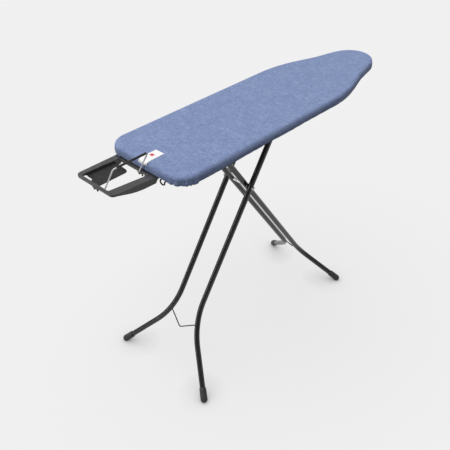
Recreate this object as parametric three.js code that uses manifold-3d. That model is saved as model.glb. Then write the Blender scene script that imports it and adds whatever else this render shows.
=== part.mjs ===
// Folding ironing board: padded board, scissor legs of bent tube, iron rest with a folding wire bail.
// Millimetres, +Z up, standing open at its greatest height.
// +X runs from the iron rest to the pointed nose, and -Y is the side of the height lever.
// The design is written about the middle of the board; add() moves each piece to the bounding box's middle.
import * as THREE from 'three';
import { mergeVertices } from 'three/addons/utils/BufferGeometryUtils.js';
import Module from 'manifold-3d';

const wasm = await Module();
wasm.setup();

// ---------------------------------------------------------------- driving dimensions
const GAP = 0.3; // air between pieces that touch on the real object
const BOARD_LENGTH = 1250;
const BOARD_HALF_WIDTH = 184;
const TOP_Z = 1003;
const SKIRT_DEPTH = 35;
const TAIL_X = -BOARD_LENGTH / 2;
const NOSE_X = BOARD_LENGTH / 2;
const TAIL_CORNER_RADIUS = 68;
const TAPER_START_X = 150;

const COVER_THICKNESS = 1.5;
const COVER_EDGE_RADIUS = 6;
const HEM_WIDTH = 30;
const PAD_THICKNESS = 8;
const MESH_THICKNESS = 1.6;
const RIM_WALL = 1.5;
const RIM_DEPTH = 17;
const RIM_FLANGE = 13;

const TUBE_RADIUS = 11;
const TUBE_WALL = 1.2;
const PIVOT_Z = 950; // height of the hinge axle and of the sliding bar
const CROSS_Z = 709; // height of the scissor axle
const FOOT_Z = 11.5; // height of the middle of each round foot cap

const OUTER = {
  pivotX: -12,
  slope: 0.6415,
  y: 60,
  footY: 236,
  cornerZ: 212,
  bend: 300,
  head: 14,
  braceEndZ: 209,
  braceVertexZ: 171,
};
const CROSS_X = OUTER.pivotX + OUTER.slope * (CROSS_Z - PIVOT_Z);
const INNER_SLOPE = -0.71;
const SLIDER_X = CROSS_X - INNER_SLOPE * (CROSS_Z - PIVOT_Z);
const INNER = {
  pivotX: SLIDER_X,
  slope: INNER_SLOPE,
  y: 36.5,
  footY: 196,
  cornerZ: 162,
  bend: 165,
  head: 10,
  braceEndZ: 195,
  braceVertexZ: 156,
};
const FOLDED_SLIDER_X = -594; // where the sliding bar ends when the legs are folded

const REST_END_X = -785;
const REST_TOP_Z = 965;
const REST_BAR_BOTTOM_Z = 957;
const REST_INNER_X = -609.5;
const REST_OPENING_X = [-775, -630.5];
const BAIL_RADIUS = 2.3;
const BAIL_AXIS = { y: 11.5, z: 961 };
const BAIL_LEG_X = [-769.6, -633.8];
const BAIL_TOP = { y: -41, z: 1053 };

const LEVER_PIVOT = { x: -545, z: 952 };
const LEVER_ARM_Y = [-63.5, -84];
const CRANK = { y: -74, length: 30 };
const ROD_Z = LEVER_PIVOT.z + CRANK.length;

const ORIGIN_SHIFT_X = -(REST_END_X + NOSE_X) / 2;

// ---------------------------------------------------------------- finishes
function finish(color, roughness, metalness) {
  return new THREE.MeshStandardMaterial({ color, roughness, metalness });
}

const CLOTH = finish(0x5b6f9e, 0.95, 0);
const PAPER = finish(0xf2f0ee, 0.7, 0);
const FOAM = finish(0xd8d4c6, 0.95, 0);
const BLACK_PAINT = finish(0x1d1e20, 0.38, 0.3);
const GREY_PAINT = finish(0x8d9194, 0.45, 0.4);
const ZINC = finish(0xb9bcc0, 0.35, 0.9);
const BLACK_PLASTIC = finish(0x2b2c2e, 0.55, 0);
const NYLON = finish(0xe4e2da, 0.5, 0);

const board = new THREE.Group();

function add(name, material, geometry) {
  const mesh = new THREE.Mesh(geometry, material);
  mesh.name = name;
  mesh.geometry.translate(ORIGIN_SHIFT_X, 0, 0);
  board.add(mesh);
}

// ---------------------------------------------------------------- solids and booleans
function solid(geometry) {
  const plain = geometry.clone();
  plain.deleteAttribute('normal');
  plain.deleteAttribute('uv');
  const welded = mergeVertices(plain, 1e-4);
  const mesh = new wasm.Mesh({
    numProp: 3,
    vertProperties: new Float32Array(welded.attributes.position.array),
    triVerts: new Uint32Array(welded.index.array),
  });
  return new wasm.Manifold(mesh);
}

function geometryOf(manifold) {
  const mesh = manifold.getMesh();
  const geometry = new THREE.BufferGeometry();
  geometry.setAttribute('position', new THREE.BufferAttribute(mesh.vertProperties, 3));
  geometry.setIndex(new THREE.BufferAttribute(mesh.triVerts, 1));
  return geometry;
}

function cut(body, ...tools) {
  const left = tools.reduce((rest, tool) => rest.subtract(solid(tool)), solid(body));
  return geometryOf(left);
}

const join = (...bodies) => geometryOf(bodies.map(solid).reduce((sum, body) => sum.add(body)));
const common = (first, second) => geometryOf(solid(first).intersect(solid(second)));

function box([x0, x1], [y0, y1], [z0, z1]) {
  const geometry = new THREE.BoxGeometry(x1 - x0, y1 - y0, z1 - z0);
  return geometry.translate((x0 + x1) / 2, (y0 + y1) / 2, (z0 + z1) / 2);
}

// an outline seen from above, raised from z0 to z1; an edge radius rounds its top and bottom edges
function slab(shape, [z0, z1], edge = 0, segments = 8) {
  const geometry = new THREE.ExtrudeGeometry(shape, {
    depth: z1 - z0 - 2 * edge,
    curveSegments: segments,
    bevelEnabled: edge > 0,
    bevelThickness: edge,
    bevelSize: edge,
    bevelOffset: -edge,
    bevelSegments: 2,
  });
  return geometry.translate(0, 0, z0 + edge);
}

// an outline drawn in X and Z, made into a plate from y0 to y1
function uprightPlate(shape, [y0, y1], segments = 6) {
  const options = { depth: y1 - y0, bevelEnabled: false, curveSegments: segments };
  const geometry = new THREE.ExtrudeGeometry(shape, options);
  return geometry.rotateX(Math.PI / 2).translate(0, y1, 0);
}

// a round bar along Y
function barY(x, z, radius, [y0, y1], sides = 16) {
  const geometry = new THREE.CylinderGeometry(radius, radius, y1 - y0, sides);
  return geometry.translate(x, (y0 + y1) / 2, z);
}

// a round bar along Z
function barZ(x, y, radius, [z0, z1], sides = 16) {
  const geometry = new THREE.CylinderGeometry(radius, radius, z1 - z0, sides);
  return geometry.rotateX(Math.PI / 2).translate(x, y, (z0 + z1) / 2);
}

const ringY = (x, z, outer, inner, span, sides = 20) =>
  cut(barY(x, z, outer, span, sides), barY(x, z, inner, [span[0] - 1, span[1] + 1], 20));

const side = (sign, [near, far]) => (sign > 0 ? [near, far] : [-far, -near]);

// ---------------------------------------------------------------- bent wire and tube
const point = (x, y, z) => new THREE.Vector3(x, y, z);

// straight runs between the given points, with every corner rounded to its own bend radius
class BentPath extends THREE.Curve {
  constructor(points, bends, segments) {
    super();
    this.places = [points[0]];
    this.headings = [points[1].clone().sub(points[0]).normalize()];
    bends.forEach((bend, i) => this.round(points[i + 1], points[i + 2], bend, segments));
    this.places.push(points[points.length - 1]);
    this.headings.push(this.headings[this.headings.length - 1]);
    this.steps = this.places.length - 1;
  }

  round(corner, next, bend, segments) {
    const arriving = this.headings[this.headings.length - 1];
    const leaving = next.clone().sub(corner).normalize();
    const turn = arriving.angleTo(leaving);
    const start = corner.clone().addScaledVector(arriving, -bend * Math.tan(turn / 2));
    const inward = leaving.clone().addScaledVector(arriving, -leaving.dot(arriving)).normalize();
    const centre = start.clone().addScaledVector(inward, bend);
    for (let i = 0; i <= segments; i += 1) {
      const angle = (turn * i) / segments;
      const [cos, sin] = [Math.cos(angle), Math.sin(angle)];
      const spoke = inward.clone().multiplyScalar(-cos).addScaledVector(arriving, sin);
      const heading = arriving.clone().multiplyScalar(cos).addScaledVector(inward, sin);
      this.places.push(centre.clone().addScaledVector(spoke, bend));
      this.headings.push(heading);
    }
  }

  getSpacedPoints() {
    return this.places;
  }

  getTangentAt(u) {
    return this.headings[Math.round(u * this.steps)].clone();
  }
}

function roundSection(radius, bore = 0) {
  const section = new THREE.Shape();
  section.absarc(0, 0, radius, 0, 2 * Math.PI, false);
  if (bore > 0) section.holes.push(new THREE.Path().absarc(0, 0, bore, 0, 2 * Math.PI, true));
  return section;
}

function bent(points, radius, { bore = 0, bend = 10, segments = 5, sides = 10 } = {}) {
  const bends = Array.isArray(bend) ? bend : Array(points.length - 2).fill(bend);
  const path = new BentPath(points, bends, segments);
  return new THREE.ExtrudeGeometry(roundSection(radius, bore), {
    extrudePath: path,
    steps: path.steps,
    curveSegments: sides / 2,
  });
}

// ---------------------------------------------------------------- outline of the board
// a wide tail with rounded corners, parallel sides, then a taper that hollows a little before the round nose
function fullOutline() {
  const r = TAIL_CORNER_RADIUS;
  const w = BOARD_HALF_WIDTH;
  const outline = new THREE.Shape();
  outline.moveTo(TAIL_X, w - r);
  outline.absarc(TAIL_X + r, -w + r, r, Math.PI, 1.5 * Math.PI, false);
  outline.lineTo(TAPER_START_X, -w);
  outline.bezierCurveTo(250, -w, 330, -158, 400, -131);
  outline.bezierCurveTo(440, -116, 500, -106, 545, -92);
  outline.bezierCurveTo(590, -78, NOSE_X, -45, NOSE_X, 0);
  outline.bezierCurveTo(NOSE_X, 45, 590, 78, 545, 92);
  outline.bezierCurveTo(500, 106, 440, 116, 400, 131);
  outline.bezierCurveTo(330, 158, 250, w, TAPER_START_X, w);
  outline.lineTo(TAIL_X + r, w);
  outline.absarc(TAIL_X + r, w - r, r, Math.PI / 2, Math.PI, false);
  return outline.getPoints(5);
}

const OUTLINE = fullOutline().filter((p, i, all) => i === 0 || p.distanceTo(all[i - 1]) > 1e-3);
if (OUTLINE[0].distanceTo(OUTLINE[OUTLINE.length - 1]) < 1e-3) OUTLINE.pop();

// the same outline drawn in by a distance, as a list of corners
function insetPoints(inset) {
  const count = OUTLINE.length;
  return OUTLINE.map((p, i) => {
    const before = p.clone().sub(OUTLINE[(i + count - 1) % count]).normalize();
    const after = OUTLINE[(i + 1) % count].clone().sub(p).normalize();
    const along = before.clone().add(after).normalize();
    const stretch = 1 / Math.max(along.dot(after), 0.5);
    return new THREE.Vector2(p.x - along.y * inset * stretch, p.y + along.x * inset * stretch);
  });
}

const outline = (inset) => new THREE.Shape(insetPoints(inset));

function outlineRing(outside, inside) {
  const ring = outline(outside);
  ring.holes.push(new THREE.Path(insetPoints(inside).reverse()));
  return ring;
}

// how far the outline, drawn in by a distance, reaches to each side at x
function halfWidthAt(x, inset = 0) {
  const corners = insetPoints(inset);
  for (let i = 1; i < corners.length; i += 1) {
    const [a, b] = [corners[i - 1], corners[i]];
    const share = (x - a.x) / (b.x - a.x);
    if (a.y < 0 && b.x > a.x && share >= 0 && share <= 1) return -(a.y + (b.y - a.y) * share);
  }
  return 0;
}

// ---------------------------------------------------------------- cover, pad, mesh and frame of the board
const SKIRT_Z = TOP_Z - SKIRT_DEPTH;
const LABEL_X = [TAIL_X + 13, TAIL_X + 76];
const LABEL_HALF_WIDTH = 20;
const LABEL_POCKET = 0.7;
const PAD_TOP = TOP_Z - COVER_THICKNESS - GAP;
const MESH_TOP = PAD_TOP - PAD_THICKNESS - GAP;
const FRAME_TOP = MESH_TOP - MESH_THICKNESS - GAP;
const RIM_INSET = COVER_THICKNESS + 0.7;
const SCREWS = [{ name: 'near', y: -40 }, { name: 'far', y: 100 }];
const SCREW_X = -616;

function makeCover() {
  const outside = slab(outline(0), [SKIRT_Z, TOP_Z], COVER_EDGE_RADIUS);
  const insideZ = [SKIRT_Z + COVER_THICKNESS, TOP_Z - COVER_THICKNESS];
  const inside = slab(outline(COVER_THICKNESS), insideZ, COVER_EDGE_RADIUS - COVER_THICKNESS);
  const hemZ = [SKIRT_Z - 1, SKIRT_Z + 5];
  const mouth = slab(outline(HEM_WIDTH), hemZ);
  const labelPocket = box(
    [LABEL_X[0] - GAP, LABEL_X[1] + GAP],
    [-LABEL_HALF_WIDTH - GAP, LABEL_HALF_WIDTH + GAP],
    [TOP_Z - LABEL_POCKET, TOP_Z + 1],
  );
  const notchY = RAIL_FLANGE + 4;
  const railNotch = box([RAIL_X[0] - 2, TAIL_X + HEM_WIDTH + 5], [-notchY, notchY], hemZ);
  const screwHoles = SCREWS.map((screw) => barZ(SCREW_X, screw.y, 6, hemZ));
  return cut(outside, inside, mouth, labelPocket, railNotch, ...screwHoles);
}

function makeLabel() {
  const height = [TOP_Z - LABEL_POCKET + GAP, TOP_Z - 0.05];
  return box(LABEL_X, [-LABEL_HALF_WIDTH, LABEL_HALF_WIDTH], height);
}

// a staggered lattice of diamond openings inside a plain border
function makeMeshTop() {
  const pitch = { x: 120, y: 60 };
  const half = { x: 51, y: 23.5 };
  const border = 20;
  const rows = 7; // to each side of the middle
  const columns = 6;
  const sheet = outline(RIM_INSET);
  for (let row = -rows; row <= rows; row += 1) {
    for (let column = -columns; column <= columns; column += 1) {
      const x = (column + (row % 2 ? 0.5 : 0)) * pitch.x;
      const y = (row * pitch.y) / 2;
      const room = Math.min(...[-0.5, 0, 0.5].map((end) => halfWidthAt(x + end * half.x, border)));
      const ends = x - half.x > TAIL_X + border && x + half.x < NOSE_X - border;
      if (!ends || Math.abs(y) + half.y > room) continue;
      const diamond = [
        new THREE.Vector2(x - half.x, y),
        new THREE.Vector2(x, y + half.y),
        new THREE.Vector2(x + half.x, y),
        new THREE.Vector2(x, y - half.y),
      ];
      sheet.holes.push(new THREE.Path(diamond));
    }
  }
  return slab(sheet, [MESH_TOP - MESH_THICKNESS, MESH_TOP]);
}

function makeRimFrame() {
  const wallRing = outlineRing(RIM_INSET, RIM_INSET + RIM_WALL);
  const wall = slab(wallRing, [FRAME_TOP - RIM_DEPTH, FRAME_TOP]);
  const flangeRing = outlineRing(RIM_INSET + 0.5, RIM_INSET + RIM_FLANGE);
  const flange = slab(flangeRing, [FRAME_TOP - RIM_WALL, FRAME_TOP]);
  return join(wall, flange);
}

// an open channel laid across the frame, under the rim's flange
const BRACE_TOP = FRAME_TOP - RIM_WALL - GAP;
const BRACE_DEPTH = 10;
const BRACE_WALL = 1.5;
const BRACE_BOTTOM = BRACE_TOP - BRACE_DEPTH;
const SCREW_HOLE = 2.7;
const BRACES = [
  { name: 'cross_brace_tail', x: -612.5, width: 16 },
  { name: 'cross_brace_middle', x: -312, width: 26 },
  { name: 'cross_brace_hinge', x: OUTER.pivotX, width: 26 },
  { name: 'cross_brace_nose', x: 300, width: 26 },
];

function makeBrace({ x, width }) {
  const inset = RIM_INSET + RIM_WALL + GAP;
  const [left, right] = [x - width / 2, x + width / 2];
  const reach = Math.min(halfWidthAt(left, inset), halfWidthAt(right, inset)) - GAP;
  const channel = box([left, right], [-reach, reach], [BRACE_BOTTOM, BRACE_TOP]);
  const trough = box(
    [left + BRACE_WALL, right - BRACE_WALL],
    [-reach - 1, reach + 1],
    [BRACE_BOTTOM + BRACE_WALL, BRACE_TOP + 1],
  );
  const holeZ = [BRACE_BOTTOM - 1, BRACE_TOP + 1];
  const holes = SCREWS.map((screw) => barZ(SCREW_X, screw.y, SCREW_HOLE, holeZ));
  return cut(channel, trough, ...holes);
}

// ---------------------------------------------------------------- slide rails, hinge brackets and their bars
const RAIL_TOP = BRACE_BOTTOM - GAP;
const RAIL_BOTTOM = 938;
const RAIL_X = [-608.5, -300];
const RAIL_WEB = [17.5, 19.5];
const RAIL_FLANGE = 34;
const SLIDER_RADIUS = 5;
const SLOT_Z = [942.6, 955.35];
const AXLE_RADIUS = 5;
const BRACKET_WEB = [73.4, 75.4];
const GUIDE_PIN = { z: 967, radius: 2, x: [-560, -345] };

function makeSlideRail(sign) {
  const slotRadius = (SLOT_Z[1] - SLOT_Z[0]) / 2;
  const slotZ = (SLOT_Z[0] + SLOT_Z[1]) / 2;
  const web = new THREE.Shape();
  web.moveTo(RAIL_X[0], RAIL_BOTTOM);
  web.lineTo(RAIL_X[1], RAIL_BOTTOM);
  web.lineTo(RAIL_X[1], RAIL_TOP);
  web.lineTo(RAIL_X[0], RAIL_TOP);
  const slot = new THREE.Path();
  slot.absarc(FOLDED_SLIDER_X, slotZ, slotRadius, Math.PI / 2, 1.5 * Math.PI, false);
  slot.absarc(INNER.pivotX, slotZ, slotRadius, -Math.PI / 2, Math.PI / 2, false);
  web.holes.push(slot);
  const plate = uprightPlate(web, side(sign, RAIL_WEB));
  const flange = box(RAIL_X, side(sign, [RAIL_WEB[0], RAIL_FLANGE]), [RAIL_TOP - 2, RAIL_TOP]);
  const pinY = side(sign, [RAIL_WEB[0] - 1.5, RAIL_WEB[1] + 1.5]);
  const pins = GUIDE_PIN.x.map((x) => barY(x, GUIDE_PIN.z, GUIDE_PIN.radius + 0.15, pinY, 12));
  return cut(join(plate, flange), ...pins);
}

function makeHingeBracket(sign) {
  const halfLength = 28;
  const eyeRadius = 12;
  const shoulderZ = RAIL_TOP - 8;
  const [left, right] = [OUTER.pivotX - halfLength, OUTER.pivotX + halfLength];
  const web = new THREE.Shape();
  web.moveTo(left, RAIL_TOP);
  web.lineTo(left, shoulderZ);
  web.lineTo(OUTER.pivotX - eyeRadius, PIVOT_Z);
  web.absarc(OUTER.pivotX, PIVOT_Z, eyeRadius, Math.PI, 2 * Math.PI, false);
  web.lineTo(right, shoulderZ);
  web.lineTo(right, RAIL_TOP);
  const plate = uprightPlate(web, side(sign, BRACKET_WEB));
  const flange = box([left, right], side(sign, [BRACKET_WEB[0], 96]), [RAIL_TOP - 2, RAIL_TOP]);
  const holeY = side(sign, [BRACKET_WEB[0] - 1.4, BRACKET_WEB[1] + 1.6]);
  return cut(join(plate, flange), barY(OUTER.pivotX, PIVOT_Z, AXLE_RADIUS + 0.25, holeY));
}

// ---------------------------------------------------------------- height comb, pull rod and squeeze lever
const COMB_X = [-603, -318];
const COMB_BOTTOM = PIVOT_Z + SLIDER_RADIUS + 0.4;
const COMB_TOP = 973;
const NOTCHES = 8;
const COMB_HALF_THICKNESS = 1.5;
const COMB_TAB_X = -497; // where the pull rod hooks into the comb
const ROD_RADIUS = 1.5;
const LEVER_RADIUS = 2.6;

function makeComb() {
  const notchRadius = SLIDER_RADIUS + 0.8;
  const pitch = (INNER.pivotX - FOLDED_SLIDER_X) / (NOTCHES - 1);
  const strip = new THREE.Shape();
  strip.moveTo(COMB_X[0], COMB_TOP);
  strip.lineTo(COMB_X[0], COMB_BOTTOM + 2);
  for (let i = 0; i < NOTCHES; i += 1) {
    const x = FOLDED_SLIDER_X + i * pitch;
    strip.lineTo(x - notchRadius, COMB_BOTTOM);
    strip.absarc(x, COMB_BOTTOM, notchRadius, Math.PI, 0, true);
  }
  strip.lineTo(COMB_X[1], COMB_BOTTOM + 2);
  strip.lineTo(COMB_X[1], COMB_TOP);
  for (const x of GUIDE_PIN.x) {
    const slot = new THREE.Path();
    slot.absarc(x - 6, GUIDE_PIN.z, GUIDE_PIN.radius + 0.3, Math.PI / 2, 1.5 * Math.PI, false);
    slot.absarc(x + 1, GUIDE_PIN.z, GUIDE_PIN.radius + 0.3, -Math.PI / 2, Math.PI / 2, false);
    strip.holes.push(slot);
  }
  const across = [-COMB_HALF_THICKNESS, COMB_HALF_THICKNESS];
  const tab = box([COMB_TAB_X - 6, COMB_TAB_X + 6], across, [COMB_TOP - 1, ROD_Z + 3]);
  const rodHole = barY(COMB_TAB_X, ROD_Z, ROD_RADIUS + GAP, [-3, 3], 12);
  return cut(join(uprightPlate(strip, across, 4), tab), rodHole);
}

function makePullRod() {
  const eye = cut(
    barZ(LEVER_PIVOT.x, CRANK.y, 6.4, [ROD_Z - ROD_RADIUS, ROD_Z + ROD_RADIUS]),
    barZ(LEVER_PIVOT.x, CRANK.y, 3.8, [ROD_Z - 2, ROD_Z + 2]),
  );
  const stem = bent(
    [
      point(LEVER_PIVOT.x + 5, CRANK.y, ROD_Z),
      point(COMB_TAB_X, CRANK.y, ROD_Z),
      point(COMB_TAB_X, 3.5, ROD_Z),
    ],
    ROD_RADIUS,
    { bend: 18, sides: 8 },
  );
  return join(eye, stem);
}

function makeLever() {
  const { x, z } = LEVER_PIVOT;
  const [nearRest, outside] = LEVER_ARM_Y;
  const loopX = -611;
  const loopZ = 939;
  const tight = 3.6;
  const round = 9;
  const crank = [point(x, CRANK.y, ROD_Z + 4), point(x, CRANK.y, z), point(x, nearRest, z)];
  const loop = [point(loopX, nearRest, z), point(loopX, nearRest, loopZ), point(loopX, outside, loopZ)];
  const back = [point(loopX, outside, z), point(x, outside, z), point(x, outside + 7.3, z)];
  const bend = [tight, tight, tight, round, round, tight, tight];
  return bent([...crank, ...loop, ...back], LEVER_RADIUS, { bend, segments: 5, sides: 8 });
}

function makeLeverBracket() {
  const { x, z } = LEVER_PIVOT;
  const lug = new THREE.Shape();
  lug.moveTo(x - 12, RAIL_TOP - 3);
  lug.lineTo(x - 6, z);
  lug.absarc(x, z, 6, Math.PI, 2 * Math.PI, false);
  lug.lineTo(x + 12, RAIL_TOP - 3);
  const lugs = [-69.6, -79.6].map((y) => uprightPlate(lug, [y, y + 1.4]));
  const plate = box([x - 14, x + 28], [-81, -20.5], [RAIL_TOP - 4.3, RAIL_TOP - 2.3]);
  const crankSlot = box([x - 5, x + 11], [CRANK.y - 3.6, CRANK.y + 3.6], [RAIL_TOP - 6, RAIL_TOP]);
  return cut(join(plate, ...lugs), crankSlot, barY(x, z, LEVER_RADIUS + 0.2, [-82, -66]));
}

// ---------------------------------------------------------------- iron rest
const rest = {
  outerNearY: -42,
  outerFarY: 143,
  nearY: -60,
  innerNearY: [-10, -29],
  innerFarY: [125, 117.5],
};

// straight edges between the given corners, each corner rounded off over its own radius
function roundedPlan(corners, radius) {
  const closed = new THREE.Shape();
  const count = corners.length;
  corners.forEach((corner, i) => {
    const before = corners[(i + count - 1) % count];
    const after = corners[(i + 1) % count];
    const into = corner.clone().sub(before).normalize();
    const out = after.clone().sub(corner).normalize();
    const start = corner.clone().addScaledVector(into, -radius[i]);
    const end = corner.clone().addScaledVector(out, radius[i]);
    if (i === 0) closed.moveTo(start.x, start.y);
    else closed.lineTo(start.x, start.y);
    closed.quadraticCurveTo(corner.x, corner.y, end.x, end.y);
  });
  return closed;
}

const flat = (x, y) => new THREE.Vector2(x, y);

// the side rails deepen towards the board like the hull of a boat
function railHull(y) {
  const hull = new THREE.Shape();
  hull.moveTo(REST_END_X - 1, REST_TOP_Z + 1);
  hull.lineTo(REST_END_X - 1, 960);
  hull.bezierCurveTo(-750, 956, -722, 941, -672, 941);
  hull.lineTo(-624, 943);
  hull.lineTo(-618, 955);
  hull.lineTo(REST_INNER_X, REST_BAR_BOTTOM_Z);
  hull.lineTo(REST_INNER_X, REST_TOP_Z + 1);
  return uprightPlate(hull, y);
}

function makeRestFrame() {
  const [openOuter, openInner] = REST_OPENING_X;
  const outside = roundedPlan(
    [
      flat(REST_END_X, rest.outerNearY),
      flat(REST_INNER_X, rest.nearY),
      flat(REST_INNER_X, rest.outerFarY),
      flat(REST_END_X, rest.outerFarY),
    ],
    [17, 3, 3, 20],
  );
  const opening = roundedPlan(
    [
      flat(openOuter, rest.innerNearY[0]),
      flat(openInner, rest.innerNearY[1]),
      flat(openInner, rest.innerFarY[1]),
      flat(openOuter, rest.innerFarY[0]),
    ],
    [4, 3, 3, 4],
  );
  outside.holes.push(new THREE.Path(opening.getPoints(5).reverse()));
  const plan = slab(outside, [930, REST_TOP_Z], 0, 6);
  const barsOnly = box([-800, -600], [-70, 150], [REST_BAR_BOTTOM_Z + 0.5, REST_TOP_Z + 1]);
  const depth = join(barsOnly, railHull([-70, rest.innerNearY[0]]), railHull([rest.innerFarY[1], 150]));
  const hollows = [
    [flat(-765, -35), flat(-634, -53), flat(-634, -35), flat(-765, -17)],
    [flat(-765, 129), flat(-634, 122), flat(-634, 138), flat(-765, 138)],
  ].map((corners) => slab(roundedPlan(corners, [3, 3, 3, 3]), [900, REST_TOP_Z - 3], 0, 3));
  const pinHoles = [
    [REST_END_X + 1.5, openOuter + 2],
    [openInner - 2, openInner + 9.5],
  ].map(([from, to]) => barX(BAIL_AXIS.y, BAIL_AXIS.z, BAIL_RADIUS + 0.15, [from, to]));
  const screwHoles = SCREWS.map((screw) => barZ(SCREW_X, screw.y, SCREW_HOLE, [930, 970]));
  const screwRecesses = SCREWS.map((screw) => barZ(SCREW_X, screw.y, 5.2, [930, REST_BAR_BOTTOM_Z]));
  return cut(common(plan, depth), ...hollows, ...pinHoles, ...screwHoles, ...screwRecesses);
}

function barX(y, z, radius, [x0, x1], sides = 16) {
  const geometry = new THREE.CylinderGeometry(radius, radius, x1 - x0, sides);
  return geometry.rotateZ(Math.PI / 2).translate((x0 + x1) / 2, y, z);
}

// a thin plate that slopes down from the far rail to the middle, cut back beside the outer end bar
function makeRestPlate() {
  const plan = roundedPlan(
    [
      flat(-765.5, 52),
      flat(-646, 52),
      flat(-643, 117),
      flat(-757, 123.2),
      flat(-757, 94),
      flat(-765.5, 90),
    ],
    [3, 14, 2, 2, 3, 3],
  );
  const blank = slab(plan, [900, 1000]);
  const section = new THREE.Shape([flat(50, 948.5), flat(130, 953.5), flat(130, 956), flat(50, 951)]);
  const sheet = new THREE.ExtrudeGeometry(section, { depth: 200, bevelEnabled: false });
  sheet.rotateX(Math.PI / 2).rotateZ(Math.PI / 2).translate(-800, 0, 0);
  return common(blank, sheet);
}

function makeRestClip(xs, ys, prongs) {
  const block = box(xs, ys, [951, REST_BAR_BOTTOM_Z + 0.2]);
  const legs = prongs.map((y) => box([xs[0] + 2, xs[1] - 2], [y - 2, y + 2], [943, 952]));
  return join(block, ...legs);
}

function makeBail() {
  const [outer, inner] = BAIL_LEG_X;
  const foot = (x) => point(x, BAIL_AXIS.y, BAIL_AXIS.z);
  const head = (x) => point(x, BAIL_TOP.y, BAIL_TOP.z);
  const rising = [foot(REST_END_X + 2.5), foot(outer), head(outer)];
  const falling = [head(inner), foot(inner), foot(inner + 11)];
  return bent([...rising, ...falling], BAIL_RADIUS, { bend: [2.7, 9, 6, 2.7], segments: 4, sides: 10 });
}

function makeBailSleeve() {
  const span = [BAIL_LEG_X[0] + 14, BAIL_LEG_X[1] - 7];
  const outside = barX(BAIL_TOP.y, BAIL_TOP.z, 3.8, span, 14);
  return cut(outside, barX(BAIL_TOP.y, BAIL_TOP.z, BAIL_RADIUS + 0.15, [span[0] - 1, span[1] + 1], 14));
}

function makeScrew({ y }) {
  const headZ = 952;
  const profile = [flat(0, headZ), flat(4, headZ), flat(4.6, headZ + 1), flat(4.6, headZ + 4.8)];
  const shank = [flat(2.4, headZ + 4.8), flat(2.4, BRACE_BOTTOM + 6), flat(0, BRACE_BOTTOM + 6)];
  return new THREE.LatheGeometry([...profile, ...shank], 14).rotateX(Math.PI / 2).translate(SCREW_X, y, 0);
}

const makeRestSpacer = ({ y }) =>
  cut(
    barZ(SCREW_X, y, 5, [REST_TOP_Z + GAP, BRACE_BOTTOM - GAP]),
    barZ(SCREW_X, y, SCREW_HOLE, [REST_TOP_Z, BRACE_BOTTOM]),
  );

// ---------------------------------------------------------------- legs
const onLeg = (leg, z, y) => point(leg.pivotX + leg.slope * (z - PIVOT_Z), y, z);

function legPoints(leg, sign, footZ = FOOT_Z) {
  const drop = point(leg.slope, 0, 1).normalize();
  const top = onLeg(leg, PIVOT_Z, sign * leg.y).addScaledVector(drop, leg.head);
  return [top, onLeg(leg, leg.cornerZ, sign * leg.y), onLeg(leg, footZ, sign * leg.footY)];
}

function makeLeg(leg, sign) {
  const [top, corner, foot] = legPoints(leg, sign);
  const end = foot.clone().lerp(corner, 2.5 / foot.distanceTo(corner));
  const size = { bore: TUBE_RADIUS - TUBE_WALL, bend: leg.bend, segments: 7, sides: 14 };
  const tube = bent([top, corner, end], TUBE_RADIUS, size);
  const across = side(sign, [leg.y - 14, leg.y + 14]);
  return cut(tube, barY(leg.pivotX, PIVOT_Z, 5.2, across), barY(CROSS_X, CROSS_Z, 4.2, across));
}

function makeFoot(leg, sign) {
  const [, corner, foot] = legPoints(leg, sign);
  const capRadius = 14;
  const boreRadius = TUBE_RADIUS + GAP;
  const length = 44;
  const profile = [flat(0, -capRadius)];
  for (let i = 1; i <= 6; i += 1) {
    const angle = (Math.PI / 2) * (i / 6);
    profile.push(flat(capRadius * Math.sin(angle), -capRadius * Math.cos(angle)));
  }
  profile.push(flat(capRadius - 0.4, length - 4), flat(capRadius - 1.6, length));
  profile.push(flat(boreRadius, length), flat(boreRadius, 2.2), flat(0, 2.2));
  const cap = new THREE.LatheGeometry(profile, 18);
  const upward = corner.clone().sub(foot).normalize();
  cap.applyQuaternion(new THREE.Quaternion().setFromUnitVectors(point(0, 1, 0), upward));
  cap.translate(foot.x, foot.y, foot.z);
  const floor = box([foot.x - 60, foot.x + 60], [foot.y - 60, foot.y + 60], [-60, 0]);
  return cut(cap, floor);
}

// how far the middle of a bent leg has splayed out at a height
function splayAt(leg, z) {
  const path = new BentPath(legPoints(leg, 1), [leg.bend], 20);
  const below = path.places.findIndex((place) => place.z <= z);
  const [a, b] = [path.places[below - 1], path.places[below]];
  return a.y + ((b.y - a.y) * (z - a.z)) / (b.z - a.z);
}

// a V of thin rod welded between a pair of legs
function makeLegBrace(leg) {
  const rodRadius = 2;
  const endY = splayAt(leg, leg.braceEndZ) - TUBE_RADIUS * 1.12 - rodRadius;
  const [left, right] = [-1, 1].map((sign) => onLeg(leg, leg.braceEndZ, sign * endY));
  const vertex = onLeg(leg, leg.braceVertexZ, 0);
  return bent([left, vertex, right], rodRadius, { bend: 10, segments: 6, sides: 8 });
}

// ---------------------------------------------------------------- assembly
const ends = [
  { name: 'near', sign: -1 },
  { name: 'far', sign: 1 },
];

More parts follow.
